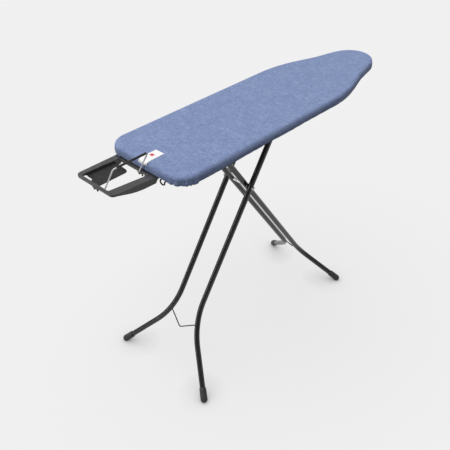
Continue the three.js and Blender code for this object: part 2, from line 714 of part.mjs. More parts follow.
add('ironing_cover', CLOTH, makeCover());
add('cover_label', PAPER, makeLabel());
add('foam_pad', FOAM, slab(outline(RIM_INSET - 0.4), [PAD_TOP - PAD_THICKNESS, PAD_TOP], 3.9));
add('mesh_top', GREY_PAINT, makeMeshTop());
add('rim_frame', GREY_PAINT, makeRimFrame());
for (const brace of BRACES) add(brace.name, GREY_PAINT, makeBrace(brace));
for (const { name, sign } of ends) {
  add(`slide_rail_${name}`, GREY_PAINT, makeSlideRail(sign));
  add(`hinge_bracket_${name}`, GREY_PAINT, makeHingeBracket(sign));
}
['tail', 'middle'].forEach((name, i) => {
  add(`comb_pin_${name}`, ZINC, barY(GUIDE_PIN.x[i], GUIDE_PIN.z, GUIDE_PIN.radius, [-21, 21], 12));
});
add('height_comb', ZINC, makeComb());
add('pull_rod', ZINC, makePullRod());
add('height_lever', BLACK_PAINT, makeLever());
add('lever_bracket', GREY_PAINT, makeLeverBracket());

add('rest_frame', BLACK_PLASTIC, makeRestFrame());
add('rest_plate', BLACK_PLASTIC, makeRestPlate());
add('rest_clip_outer', BLACK_PLASTIC, makeRestClip([-783.5, -774.5], [36, 60], [40, 56]));
add('rest_clip_inner', BLACK_PLASTIC, makeRestClip([-629.5, -621], [2, 26], [6, 22]));
for (const screw of SCREWS) {
  add(`rest_screw_${screw.name}`, ZINC, makeScrew(screw));
  add(`rest_spacer_${screw.name}`, BLACK_PLASTIC, makeRestSpacer(screw));
}
add('bail_wire', ZINC, makeBail());
add('bail_sleeve', BLACK_PLASTIC, makeBailSleeve());

for (const { name, sign } of ends) {
  add(`outer_leg_${name}`, BLACK_PAINT, makeLeg(OUTER, sign));
  add(`outer_foot_${name}`, BLACK_PLASTIC, makeFoot(OUTER, sign));
  add(`inner_leg_${name}`, BLACK_PAINT, makeLeg(INNER, sign));
  add(`inner_foot_${name}`, BLACK_PLASTIC, makeFoot(INNER, sign));
}
add('outer_leg_brace', BLACK_PAINT, makeLegBrace(OUTER));
add('inner_leg_brace', BLACK_PAINT, makeLegBrace(INNER));

add('hinge_axle', ZINC, barY(OUTER.pivotX, PIVOT_Z, AXLE_RADIUS, [-80, 80]));
add('slider_bar', ZINC, barY(INNER.pivotX, PIVOT_Z, SLIDER_RADIUS, [-51, 51]));
add('scissor_axle', ZINC, barY(CROSS_X, CROSS_Z, 4, [-79, 79]));
add('axle_spacer', ZINC, ringY(CROSS_X, CROSS_Z, 6, 4.2, [-25.1, 25.1]));
for (const { name, sign } of ends) {
  add(`hinge_cap_${name}`, ZINC, ringY(OUTER.pivotX, PIVOT_Z, 8.5, 5.15, side(sign, [75.8, 79.4])));
  add(`slider_bush_${name}`, NYLON, ringY(INNER.pivotX, PIVOT_Z, 9, 5.15, side(sign, [19.9, 25.1])));
  add(`slider_cap_${name}`, ZINC, ringY(INNER.pivotX, PIVOT_Z, 8, 5.15, side(sign, [47.9, 50.9])));
  add(`axle_washer_${name}`, ZINC, ringY(CROSS_X, CROSS_Z, 10, 4.2, side(sign, [47.8, 48.7])));
  add(`axle_nut_${name}`, ZINC, ringY(CROSS_X, CROSS_Z, 7.6, 4.2, side(sign, [71.4, 77]), 6));
}

export default board;
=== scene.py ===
"""Looks of the folding ironing board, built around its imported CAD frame.

Lengths in this script are millimetres about the middle of the board, as in the CAD source; at()
turns them into the frame's metres. Every piece rides on the CAD body that it belongs to.
"""

import math

import bmesh
import bpy
import numpy as np
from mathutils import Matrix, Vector


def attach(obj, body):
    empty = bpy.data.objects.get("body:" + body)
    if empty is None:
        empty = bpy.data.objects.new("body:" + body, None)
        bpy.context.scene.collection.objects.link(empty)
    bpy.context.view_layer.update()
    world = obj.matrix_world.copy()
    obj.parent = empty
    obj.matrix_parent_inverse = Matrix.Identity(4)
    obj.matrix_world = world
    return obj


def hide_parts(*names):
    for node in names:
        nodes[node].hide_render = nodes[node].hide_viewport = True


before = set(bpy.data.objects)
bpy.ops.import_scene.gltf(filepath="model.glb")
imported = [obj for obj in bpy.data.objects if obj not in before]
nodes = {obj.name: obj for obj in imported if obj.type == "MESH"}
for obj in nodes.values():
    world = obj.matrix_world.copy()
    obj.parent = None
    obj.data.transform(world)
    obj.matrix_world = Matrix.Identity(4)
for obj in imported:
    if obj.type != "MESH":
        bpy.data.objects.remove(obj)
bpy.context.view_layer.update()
scene = bpy.context.scene

MM = 0.001
ORIGIN_X = 80  # the board's middle lies this far from the frame's origin, mm


def at(x, y, z):
    """A place in the frame, in metres."""
    return Vector(((x + ORIGIN_X) * MM, y * MM, z * MM))


# ---------------------------------------------------------------- camera
# Metres in the frame, fitted so that the board's outline lies as in the reference view.
CAMERA_PLACE = Vector((-1.6164, -1.3694, 2.0405))
CAMERA_AIM = Vector((-0.0173, 0.1387, 0.3879))
CAMERA_LENS = 50.51
SENSOR_WIDTH = 36
camera_data = bpy.data.cameras.new("camera")
camera_data.lens = CAMERA_LENS
camera_data.sensor_width = SENSOR_WIDTH
camera = bpy.data.objects.new("camera", camera_data)
scene.collection.objects.link(camera)
camera.location = CAMERA_PLACE
camera.rotation_euler = (CAMERA_AIM - CAMERA_PLACE).to_track_quat("-Z", "Y").to_euler()
scene.camera = camera


# ---------------------------------------------------------------- materials
class Look:
    """A node material that is put together from small steps."""

    def __init__(self, name, roughness=0.5, metallic=0.0, **sockets):
        self.material = bpy.data.materials.new(name)
        self.material.use_nodes = True
        self.tree = self.material.node_tree
        self.shader = self.tree.nodes["Principled BSDF"]
        self.shader.inputs["Roughness"].default_value = roughness
        self.shader.inputs["Metallic"].default_value = metallic
        for socket, value in sockets.items():
            self.shader.inputs[socket.replace("_", " ")].default_value = value
        self.place = self.node("ShaderNodeTexCoord").outputs["Object"]

    def node(self, kind, **settings):
        made = self.tree.nodes.new(kind)
        for key, value in settings.items():
            setattr(made, key, value)
        return made

    def link(self, out, into):
        self.tree.links.new(out, into)

    def stretched(self, scale):
        mapping = self.node("ShaderNodeMapping")
        mapping.inputs["Scale"].default_value = scale
        self.link(self.place, mapping.inputs["Vector"])
        return mapping.outputs["Vector"]

    def noise(self, scale, detail=3.0, roughness=0.55, place=None):
        made = self.node("ShaderNodeTexNoise")
        made.inputs["Scale"].default_value = scale
        made.inputs["Detail"].default_value = detail
        made.inputs["Roughness"].default_value = roughness
        self.link(place or self.place, made.inputs["Vector"])
        return made.outputs["Fac"]

    def wave(self, scale, direction):
        made = self.node("ShaderNodeTexWave", wave_type="BANDS", bands_direction=direction)
        made.inputs["Scale"].default_value = scale
        made.inputs["Distortion"].default_value = 0.0
        made.inputs["Detail"].default_value = 1.0
        self.link(self.place, made.inputs["Vector"])
        return made.outputs["Fac"]

    def spread(self, value, low, high, out_low=0.0, out_high=1.0):
        made = self.node("ShaderNodeMapRange")
        ends = {"From Min": low, "From Max": high, "To Min": out_low, "To Max": out_high}
        for socket, number in ends.items():
            made.inputs[socket].default_value = number
        self.link(value, made.inputs["Value"])
        return made.outputs["Result"]

    def maths(self, operation, first, second):
        made = self.node("ShaderNodeMath", operation=operation)
        for socket, value in zip(made.inputs, (first, second)):
            if isinstance(value, (int, float)):
                socket.default_value = value
            else:
                self.link(value, socket)
        return made.outputs["Value"]

    def mix(self, amount, first, second):
        made = self.node("ShaderNodeMix", data_type="RGBA")
        self.link(amount, made.inputs["Factor"])
        for socket, colour in ((made.inputs[6], first), (made.inputs[7], second)):
            if isinstance(colour, tuple):
                socket.default_value = (*colour, 1)
            else:
                self.link(colour, socket)
        return made.outputs[2]

    def colour(self, out):
        self.link(out, self.shader.inputs["Base Color"])

    def rough(self, out):
        self.link(out, self.shader.inputs["Roughness"])

    def bump(self, out, distance, strength=1.0, under=None):
        made = self.node("ShaderNodeBump")
        made.inputs["Strength"].default_value = strength
        made.inputs["Distance"].default_value = distance
        self.link(out, made.inputs["Height"])
        if under is not None:
            self.link(under, made.inputs["Normal"])
        self.link(made.outputs["Normal"], self.shader.inputs["Normal"])
        return made.outputs["Normal"]


# Colours of the cotton's threads and of the label, linear red, green and blue.
BLUE_THREAD = (0.122, 0.172, 0.335)
PALE_THREAD = (0.325, 0.410, 0.650)
DARK_SLUB = (0.105, 0.145, 0.300)
PALE_SLUB = (0.400, 0.480, 0.720)
WORN_BLUE = (0.170, 0.225, 0.410)
LABEL_WHITES = ((0.90, 0.90, 0.90), (0.97, 0.97, 0.97))
MARK_REDS = ((0.62, 0.070, 0.085), (0.74, 0.120, 0.130))

# The red block on the label: its middle and its half sides in plan.
MARK_PLACE = (-581, 4)
MARK_HALF = (6.5, 7.5)


def make_cotton():
    """Chambray: blue warp and paler weft of uneven thickness, seen as small crossed streaks."""
    look = Look("cotton_chambray", roughness=0.92, Sheen_Weight=0.12, Sheen_Roughness=0.5)
    look.shader.inputs["Specular IOR Level"].default_value = 0.2
    warp = look.noise(1.0, 4.0, 0.65, look.stretched((75, 620, 620)))
    weft = look.noise(1.0, 4.0, 0.65, look.stretched((620, 75, 620)))
    long_slubs = look.noise(1.0, 3.0, 0.6, look.stretched((38, 210, 210)))
    cross_slubs = look.noise(1.0, 3.0, 0.6, look.stretched((190, 34, 190)))
    clouds = look.noise(17, 4.0, 0.6)
    warp_half = look.maths("MULTIPLY", warp, 0.5)
    weft_half = look.maths("MULTIPLY", weft, 0.5)
    threads = look.maths("ADD", warp_half, weft_half)
    base = look.mix(look.spread(threads, 0.36, 0.64), BLUE_THREAD, PALE_THREAD)
    darker = look.mix(look.spread(long_slubs, 0.50, 0.72, 0.0, 0.55), base, DARK_SLUB)
    paler = look.mix(look.spread(cross_slubs, 0.52, 0.74, 0.0, 0.50), darker, PALE_SLUB)
    cloudy = look.mix(look.spread(clouds, 0.42, 0.68, 0.0, 0.35), paler, WORN_BLUE)
    look.colour(cloudy)
    weave = look.maths("MULTIPLY", look.wave(520, "X"), look.wave(520, "Y"))
    fine = look.bump(weave, 0.00015, 0.5)
    look.bump(threads, 0.0005, 0.7, fine)
    return look.material


def make_label():
    """White woven tape with a plain red block printed on it."""
    look = Look("woven_label", roughness=0.8)
    look.shader.inputs["Specular IOR Level"].default_value = 0.3
    grain = look.noise(900, 2.0)
    white = look.mix(look.spread(grain, 0.3, 0.7), *LABEL_WHITES)
    parts = look.node("ShaderNodeSeparateXYZ")
    look.link(look.place, parts.inputs["Vector"])
    middle = at(*MARK_PLACE, 0)
    sides = []
    for axis in (0, 1):
        signed = look.maths("SUBTRACT", parts.outputs[axis], middle[axis])
        away = look.maths("ABSOLUTE", signed, 0.0)
        sides.append(look.maths("SUBTRACT", away, MARK_HALF[axis] * MM))
    inside = look.spread(look.maths("MAXIMUM", *sides), 0.0003, -0.0003)
    ink = look.mix(look.spread(grain, 0.3, 0.7), *MARK_REDS)
    look.colour(look.mix(inside, white, ink))
    weave = look.maths("ADD", look.wave(450, "X"), look.wave(450, "Y"))
    look.bump(weave, 0.00008, 0.4)
    return look.material


def make_felt():
    look = Look("felt_pad", roughness=0.95, Sheen_Weight=0.2)
    look.shader.inputs["Specular IOR Level"].default_value = 0.15
    fibres = look.noise(1.0, 4.0, 0.7, look.stretched((300, 700, 500)))
    clouds = look.noise(40, 3.0)
    base = look.mix(look.spread(fibres, 0.3, 0.7), (0.50, 0.47, 0.39), (0.70, 0.67, 0.58))
    look.colour(look.mix(look.spread(clouds, 0.45, 0.75, 0.0, 0.35), base, (0.74, 0.72, 0.66)))
    look.bump(fibres, 0.0006, 0.7)
    return look.material


def make_powder_coat(name, dark, light, roughness):
    look = Look(name, roughness=roughness)
    mottle = look.noise(60, 3.0)
    peel = look.noise(900, 2.0)
    look.colour(look.mix(look.spread(mottle, 0.35, 0.7), dark, light))
    look.rough(look.spread(look.noise(140, 3.0), 0.3, 0.7, roughness - 0.06, roughness + 0.10))
    look.bump(peel, 0.00008, 0.35)
    return look.material


def make_black_paint(name, specular, coat):
    look = Look(name, roughness=0.3)
    look.shader.inputs["Specular IOR Level"].default_value = specular
    look.shader.inputs["Coat Weight"].default_value = coat
    look.shader.inputs["Coat Roughness"].default_value = 0.12
    mottle = look.noise(45, 3.0)
    blacks = ((0.0060, 0.0060, 0.0064), (0.0110, 0.0110, 0.0114))
    look.colour(look.mix(look.spread(mottle, 0.35, 0.7), *blacks))
    look.rough(look.spread(look.noise(220, 3.0), 0.3, 0.7, 0.18, 0.28))
    look.bump(look.noise(1400, 2.0), 0.00005, 0.3)
    return look.material


def make_zinc():
    look = Look("zinc_plate", roughness=0.3, metallic=1.0)
    brushed = look.noise(1.0, 4.0, 0.6, look.stretched((1200, 160, 1200)))
    stains = look.noise(50, 3.0)
    base = look.mix(look.spread(brushed, 0.3, 0.7), (0.46, 0.47, 0.48), (0.68, 0.68, 0.68))
    look.colour(look.mix(look.spread(stains, 0.5, 0.75, 0.0, 0.35), base, (0.62, 0.58, 0.50)))
    look.rough(look.spread(brushed, 0.3, 0.7, 0.22, 0.42))
    look.bump(brushed, 0.00003, 0.4)
    return look.material


def make_plastic(name, dark, light, roughness, grain=1300):
    look = Look(name, roughness=roughness)
    look.shader.inputs["Specular IOR Level"].default_value = 0.45
    mottle = look.noise(55, 3.0)
    fine = look.noise(grain, 2.0)
    look.colour(look.mix(look.spread(mottle, 0.35, 0.7), dark, light))
    look.rough(look.spread(fine, 0.3, 0.7, roughness - 0.07, roughness + 0.08))
    look.bump(fine, 0.0001, 0.4)
    return look.material


COTTON = make_cotton()
LABEL = make_label()
FELT = make_felt()
GREY_PAINT = make_powder_coat("grey_powder_coat", (0.30, 0.31, 0.32), (0.40, 0.41, 0.42), 0.42)
BLACK_PAINT = make_black_paint("black_satin_paint", 0.5, 0.15)
ROD_PAINT = make_black_paint("black_rod_paint", 0.2, 0.0)
ZINC = make_zinc()
BLACKS = ((0.010, 0.010, 0.011), (0.020, 0.020, 0.021))
FOOT_BLACKS = ((0.028, 0.028, 0.029), (0.044, 0.044, 0.045))
REST_GREYS = ((0.062, 0.062, 0.063), (0.094, 0.094, 0.095))
NYLON_WHITES = ((0.60, 0.59, 0.54), (0.72, 0.71, 0.66))
BLACK_PLASTIC = make_plastic("black_moulding", *BLACKS, 0.42)
RUBBER = make_plastic("foot_cap_plastic", *FOOT_BLACKS, 0.5, 900)
REST_PLASTIC = make_plastic("grained_moulding", *REST_GREYS, 0.38, 700)
NYLON = make_plastic("natural_nylon", *NYLON_WHITES, 0.4)


# ---------------------------------------------------------------- mesh helpers
SHARP = math.radians(38)  # edges that turn further than this stay crisp
WELD_DISTANCE = 0.00002  # metres


def piece(name, vertices, faces, material, body, slot=None, stands_for=(), sharp=SHARP):
    """A mesh piece that rides on a body and may take the place of CAD nodes."""
    mesh = bpy.data.meshes.new(name)
    mesh.from_pydata([tuple(v) for v in vertices], [], [tuple(int(i) for i in f) for f in faces])
    mesh.validate()
    tidy = bmesh.new()
    tidy.from_mesh(mesh)
    bmesh.ops.recalc_face_normals(tidy, faces=tidy.faces)
    tidy.to_mesh(mesh)
    tidy.free()
    mesh.shade_smooth()
    if sharp is not None:
        mesh.set_sharp_from_angle(angle=sharp)
    mesh.materials.append(material)
    made = bpy.data.objects.new(name, mesh)
    scene.collection.objects.link(made)
    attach(made, body)
    if stands_for:
        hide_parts(*stands_for)
    return made


def weld(made):
    """Joins points that coincide, as where rings meet on the middle line."""
    tidy = bmesh.new()
    tidy.from_mesh(made.data)
    bmesh.ops.remove_doubles(tidy, verts=tidy.verts, dist=WELD_DISTANCE)
    bmesh.ops.recalc_face_normals(tidy, faces=tidy.faces)
    tidy.to_mesh(made.data)
    tidy.free()
    made.data.shade_smooth()


def solidify(made, thickness, offset):
    skin = made.modifiers.new("thickness", "SOLIDIFY")
    skin.thickness = thickness
    skin.offset = offset
    skin.use_even_offset = False


def bend_path(corners, radii, step=math.radians(7)):
    """Straight runs between corners, each inner corner rounded to its bend radius."""
    corners = [np.array(c, float) for c in corners]
    places = [corners[0]]
    for i, radius in enumerate(radii):
        before, corner, after = corners[i], corners[i + 1], corners[i + 2]
        arriving = (corner - before) / np.linalg.norm(corner - before)
        leaving = (after - corner) / np.linalg.norm(after - corner)
        turn = math.acos(max(-1.0, min(1.0, float(arriving @ leaving))))
        inward = leaving - arriving * (leaving @ arriving)
        inward /= np.linalg.norm(inward)
        start = corner - arriving * radius * math.tan(turn / 2)
        centre = start + inward * radius
        count = max(3, math.ceil(turn / step))
        for k in range(count + 1):
            angle = turn * k / count
            places.append(centre + radius * (arriving * math.sin(angle) - inward * math.cos(angle)))
    places.append(corners[-1])
    return np.array(places)


def frames_along(path):
    """A heading and two cross directions at each point, carried along without twist."""
    steps = np.diff(path, axis=0)
    steps /= np.linalg.norm(steps, axis=1)[:, None]
    heading = np.vstack([steps[:1], steps[:-1] + steps[1:], steps[-1:]])
    heading /= np.linalg.norm(heading, axis=1)[:, None]
    helper = np.array([0, 0, 1.0]) if abs(heading[0][2]) < 0.9 else np.array([1.0, 0, 0])
    first = helper - heading[0] * (helper @ heading[0])
    cross = [first / np.linalg.norm(first)]
    for h in heading[1:]:
        moved = cross[-1] - h * (cross[-1] @ h)
        cross.append(moved / np.linalg.norm(moved))
    cross = np.array(cross)
    return heading, cross, np.cross(heading, cross)


def ring_faces(first, second, count):
    """Quads between two closed rings of vertices, given by their first indices."""
    faces = []
    for i in range(count):
        following = (i + 1) % count
        faces.append((first + i, first + following, second + following, second + i))
    return faces


def circle(middle, radius, turns, across, up):
    return [middle + radius * (math.cos(a) * across + math.sin(a) * up) for a in turns]


def swept(path, profile, sides):
    """Rings of vertices along a path, in millimetres. profile lists (path index, radius, slide)."""
    heading, across, up = frames_along(path)
    turn = np.linspace(0, 2 * math.pi, sides, endpoint=False)
    vertices = []
    for index, radius, slide in profile:
        middle = path[index] + heading[index] * slide
        vertices += circle(middle, radius, turn, across[index], up[index])
    return vertices


def wire(name, path, radius, material, body, sides=16, edge=0.5, bore=0.0, **facts):
    """A bent wire or tube with eased ends; a bore leaves it hollow."""
    last = len(path) - 1
    profile = [(0, radius - edge, 0), (0, radius, edge)]
    profile += [(i, radius, 0) for i in range(1, last)]
    profile += [(last, radius, -edge), (last, radius - edge, 0)]
    if bore:
        profile += [(last, bore, -edge)]
        profile += [(i, bore, 0) for i in range(last - 1, 0, -1)]
        profile += [(0, bore, edge)]
    vertices = swept(path, profile, sides)
    faces = []
    for ring in range(len(profile) - 1):
        faces += ring_faces(ring * sides, (ring + 1) * sides, sides)
    top = (len(profile) - 1) * sides
    if bore:
        faces += ring_faces(top, 0, sides)
    else:
        faces += [tuple(range(sides))[::-1], tuple(range(top, top + sides))]
    return piece(name, [at(*v) for v in vertices], faces, material, body, **facts)


def turned(profile, place, axis, sides=32):
    """A closed turned shape: profile lists (radius, height) from the axis and back to it."""
    axis = np.array(axis, float) / np.linalg.norm(axis)
    helper = np.array([0, 0, 1.0]) if abs(axis[2]) < 0.9 else np.array([1.0, 0, 0])
    across = np.cross(axis, helper)
    across /= np.linalg.norm(across)
    up = np.cross(axis, across)
    vertices, rings = [], []
    for radius, height in profile:
        middle = np.array(place, float) + axis * height
        if radius < 1e-6:
            rings.append((len(vertices), 1))
            vertices.append(middle)
            continue
        rings.append((len(vertices), sides))
        turns = np.linspace(0, 2 * math.pi, sides, endpoint=False)
        vertices += circle(middle, radius, turns, across, up)
    faces = []
    pairs = zip(rings, rings[1:] + rings[:1])
    for (start, count), (other, number) in pairs:
        if count == 1 and number == 1:
            continue
        if count == 1:
            faces += [(start, other + (i + 1) % number, other + i) for i in range(number)]
        elif number == 1:
            faces += [(start + i, start + (i + 1) % count, other) for i in range(count)]
        else:
            faces += ring_faces(start, other, count)
    return vertices, faces


# ---------------------------------------------------------------- outline of the board
HALF_LENGTH = 625
HALF_WIDTH = 184
TAIL_RADIUS = 68
TAPER_X = 150  # the straight sides end here
FINE_STEP = 2.2  # between points where the outline turns
COARSE_STEP = 8.0  # and where it runs straight
TIGHT_RADIUS = 55  # a turn of this radius or less counts as fully tight
BEND_BLUR = 45  # points, so that the spacing changes slowly
BEND_GAIN = 320


def bezier(a, b, c, d):
    t = np.linspace(0, 1, 80, endpoint=False)[:, None]
    a, b, c, d = (np.array(p, float) for p in (a, b, c, d))
    return (1 - t) ** 3 * a + 3 * (1 - t) ** 2 * t * b + 3 * (1 - t) * t**2 * c + t**3 * d


def near_half():
    """The near side of the outline, from the middle of the tail to the tip of the nose."""
    w, r, x0 = HALF_WIDTH, TAIL_RADIUS, -HALF_LENGTH
    tail = np.linspace((x0, 0), (x0, -w + r), 60, endpoint=False)
    turn = np.linspace(math.pi, 1.5 * math.pi, 60, endpoint=False)
    corner = np.stack([x0 + r + r * np.cos(turn), -w + r + r * np.sin(turn)], 1)
    straight = np.linspace((x0 + r, -w), (TAPER_X, -w), 300, endpoint=False)
    taper = bezier((TAPER_X, -w), (250, -w), (330, -158), (400, -131))
    hollow = bezier((400, -131), (440, -116), (500, -106), (545, -92))
    tip = bezier((545, -92), (590, -78), (HALF_LENGTH, -45), (HALF_LENGTH, 0))
    return np.vstack([tail, corner, straight, taper, hollow, tip])


def outline_points():
    """Points round the board, closer together where it turns, with their outward normals."""
    half = near_half()
    half = np.vstack([half, [[HALF_LENGTH, 0]]])
    along = np.concatenate([[0], np.cumsum(np.linalg.norm(np.diff(half, axis=0), axis=1))])
    dense = np.linspace(0, along[-1], round(along[-1]))
    line = np.stack([np.interp(dense, along, half[:, k]) for k in (0, 1)], 1)
    heading = np.gradient(line, axis=0)
    bend = np.abs(np.gradient(np.unwrap(np.arctan2(heading[:, 1], heading[:, 0]))))
    kernel = np.hanning(BEND_BLUR)
    padded = np.concatenate([bend[::-1], bend, bend[::-1]])
    bend = np.convolve(padded, kernel / kernel.sum(), "same")[len(bend) : 2 * len(bend)]
    weight = np.clip(bend * BEND_GAIN, 0, 1)
    density = weight / FINE_STEP + (1 - weight) / COARSE_STEP
    total = np.concatenate([[0], np.cumsum(density[1:])])
    wanted = np.linspace(0, total[-1], round(total[-1]) + 1)
    spots = np.interp(wanted, total, np.arange(len(total)))
    near = np.stack([np.interp(spots, np.arange(len(line)), line[:, k]) for k in (0, 1)], 1)
    near[0, 1] = near[-1, 1] = 0
    points = np.vstack([near, near[1:-1][::-1] * (1, -1)])
    tangent = np.roll(points, -1, 0) - np.roll(points, 1, 0)
    tangent /= np.linalg.norm(tangent, axis=1)[:, None]
    return points, np.stack([tangent[:, 1], -tangent[:, 0]], 1)


EDGE, OUTWARD = outline_points()
AROUND = len(EDGE)
SPINE_X = (-470, 500)  # the rings of the flat top shrink to this line along the middle
SPINE = np.stack([np.clip(EDGE[:, 0], *SPINE_X), np.zeros(AROUND)], 1)


# ---------------------------------------------------------------- fabric cover
TOP_Z = 1003.0
SKIRT_Z = 968.6
ROLL = 12.0  # radius of the soft upper edge
HEM_ROLL = 4.5
HEM_REACH = 27.0  # how far the hem reaches in under the board
CLOTH_THICKNESS = 0.9
LARGEST_MOVE = 6.0  # how far the settling cloth may carry a point
CREASES_BEFORE = 0.4  # the share of the creases that is pressed in before the cloth settles
CREASES_AFTER = 0.75  # and after it
HEM_DROP, HEM_LIFT = 0.2, 0.35  # how fullness lowers the hem and creases raise it
PLAN_RANGE = (-1.1, 5.0)  # how far the cloth may lie inside and outside its drawn shape
HEIGHT_RANGE = (-0.4, 0.9)  # the same for its height near the top
GATHER_SEED = 5
CLOTH_FRAMES = 14


def cover_rows():
    """(inset, height, distance along the cloth) of each ring outside the flat top."""
    rows = []
    for k in range(0, 6):
        angle = math.pi / 2 * k / 5
        inset = ROLL * (1 - math.sin(angle))
        rows.append((inset, TOP_Z - ROLL * (1 - math.cos(angle)), ROLL * angle))
    distance = ROLL * math.pi / 2
    fall = TOP_Z - ROLL - (SKIRT_Z + HEM_ROLL)
    for k in range(1, 9):
        rows.append((0.0, TOP_Z - ROLL - fall * k / 8, distance + fall * k / 8))
    distance += fall
    for k in range(1, 4):
        angle = math.pi / 2 * k / 3
        inset = HEM_ROLL * (1 - math.cos(angle))
        height = SKIRT_Z + HEM_ROLL * (1 - math.sin(angle))
        rows.append((inset, height, distance + HEM_ROLL * angle))
    distance += HEM_ROLL * math.pi / 2
    for k in range(1, 8):
        reach = (HEM_REACH - HEM_ROLL) * k / 7
        rows.append((HEM_ROLL + reach, SKIRT_Z + 0.6 * k / 7, distance + reach))
    return rows


ROWS = cover_rows()
INNER_ROWS = 13  # rings of the flat top, inside the rolled edge


def cover_points():
    """The folded cover, ring by ring from the middle outwards."""
    folded = []
    start = EDGE - OUTWARD * ROLL
    for k in range(INNER_ROWS):
        share = (k / INNER_ROWS) ** 0.8
        plan = SPINE * (1 - share) + start * share
        folded.append(np.column_stack([plan, np.full(AROUND, TOP_Z)]))
    for inset, height, _ in ROWS:
        folded.append(np.column_stack([EDGE - OUTWARD * inset, np.full(AROUND, height)]))
    return np.array(folded)


def turning():
    """From 0 on the straight sides to 1 where the outline turns tightly."""
    heading = np.arctan2(OUTWARD[:, 1], OUTWARD[:, 0])
    bend = np.abs(np.angle(np.exp(1j * (np.roll(heading, -2) - np.roll(heading, 2)))))
    gap = np.linalg.norm(np.roll(EDGE, -2, 0) - np.roll(EDGE, 2, 0), axis=1)
    return np.clip(bend / gap * TIGHT_RADIUS, 0, 1)


def gathers():
    """The skirt's fullness and the creases that run up from its drawn hem, both in mm outwards."""
    rng = np.random.default_rng(GATHER_SEED)
    arc = np.concatenate([[0], np.cumsum(np.linalg.norm(np.diff(EDGE, axis=0), axis=1))])
    around = arc[-1] + np.linalg.norm(EDGE[0] - EDGE[-1])
    tight = turning()
    distance = np.array([row[2] for row in ROWS])[:, None]
    grow = np.clip((distance - 10) / 22, 0, 1)
    # Two slow waves of fullness run round the skirt, 9 and 17 times.
    slow = np.sin(2 * math.pi * 9 * arc / around + 1.0)
    slow = slow + 0.7 * np.sin(2 * math.pi * 17 * arc / around + 2.2)
    full = grow * (0.5 + 3.4 * tight + 0.35 * slow)[None, :]
    creases = np.zeros_like(full)
    # Creases differ in depth, width, start and lean, and stand closer where the outline turns.
    spot = 0.0
    while spot < around:
        local = float(np.interp(spot, arc, tight))
        depth = (0.7 + 3.2 * local) * rng.uniform(0.55, 1.15)
        width = rng.uniform(1.9, 3.0) + 3.5 * (1 - local)
        begin = rng.uniform(6, 19)
        lean = rng.uniform(-0.20, 0.20)
        rise = np.clip((distance - begin) / 15, 0, 1)
        gap = np.abs(arc[None, :] - spot - lean * (distance - begin))
        gap = np.minimum(gap, around - gap)
        creases = np.minimum(creases, -depth * rise * np.exp(-((gap / width) ** 2)))
        spot += rng.uniform(9, 17) if local > 0.3 else rng.uniform(34, 80)
    return full, creases


def ring(row):
    """The points of one ring of the edge, skirt or hem."""
    return slice((INNER_ROWS + row) * AROUND, (INNER_ROWS + row + 1) * AROUND)


def pushed(points, push):
    """Every ring of the edge, skirt and hem moved outwards."""
    for row in range(len(ROWS)):
        points[ring(row), :2] += OUTWARD * push[row][:, None] * MM
    return points


def kept_off_frame(final):
    """The cloth stays outside the steel rim, and flat on the pad near the edge of the top."""
    for row, (inset, height, _) in enumerate(ROWS):
        part = ring(row)
        plan = final[part, :2] / MM - (ORIGIN_X, 0)
        out = ((plan - EDGE) * OUTWARD).sum(1) + inset
        final[part, :2] += OUTWARD * (np.clip(out, *PLAN_RANGE) - out)[:, None] * MM
        if height > TOP_Z - ROLL:
            low, high = (height + HEIGHT_RANGE[0]) * MM, (height + HEIGHT_RANGE[1]) * MM
            final[part, 2] = np.clip(final[part, 2], low, high)
    return final


def board_rings(count, closed=False):
    """Faces between rings that all have AROUND points; closed joins the last ring to the first."""
    faces = []
    for k in range(count if closed else count - 1):
        faces += ring_faces(k * AROUND, (k + 1) % count * AROUND, AROUND)
    return faces


def settle_cloth(start):
    """Blender's cloth on the edge, skirt and hem.

    It is held on the top and at the drawn hem, and loose where the outline turns.
    """
    strip = start[(INNER_ROWS - 2) * AROUND :]
    rings = len(strip) // AROUND
    faces = [face[::-1] for face in board_rings(rings)]
    mesh = bpy.data.meshes.new("skirt")
    mesh.from_pydata([tuple(v) for v in strip], [], faces)
    skirt = bpy.data.objects.new("skirt", mesh)
    scene.collection.objects.link(skirt)
    held = skirt.vertex_groups.new(name="held")
    for k in (0, 1, rings - 1):
        held.add([k * AROUND + i for i in range(AROUND)], 1.0, "REPLACE")
    loose = skirt.vertex_groups.new(name="loose")
    reach = np.clip((np.array([0, 0] + [row[2] for row in ROWS]) - 8) / 36, 0, 1)
    slack = np.outer(reach, np.clip(turning(), 0.08, 1))
    for index, weight in enumerate(slack.ravel()):
        loose.add([index], float(weight), "REPLACE")
    cloth = skirt.modifiers.new("cloth", "CLOTH")
    settings = cloth.settings
    settings.quality = 6
    settings.mass = 0.02
    settings.tension_stiffness = settings.compression_stiffness = 20
    settings.shear_stiffness = 6
    settings.bending_stiffness = 0.2
    settings.tension_damping = settings.compression_damping = settings.shear_damping = 8
    settings.vertex_group_mass = "held"
    settings.vertex_group_shrink = "loose"
    settings.shrink_min, settings.shrink_max = 0.0, -0.35
    settings.effector_weights.gravity = 0
    settings.use_pressure = True
    settings.uniform_pressure_force = 0.5
    cloth.collision_settings.use_collision = False
    cloth.point_cache.frame_start, cloth.point_cache.frame_end = 1, CLOTH_FRAMES
    for number in range(1, CLOTH_FRAMES + 1):
        scene.frame_set(number)
    settled = skirt.evaluated_get(bpy.context.evaluated_depsgraph_get())
    places = np.array([v.co[:] for v in settled.to_mesh().vertices])
    settled.to_mesh_clear()
    bpy.data.objects.remove(skirt)
    scene.frame_set(1)
    return places


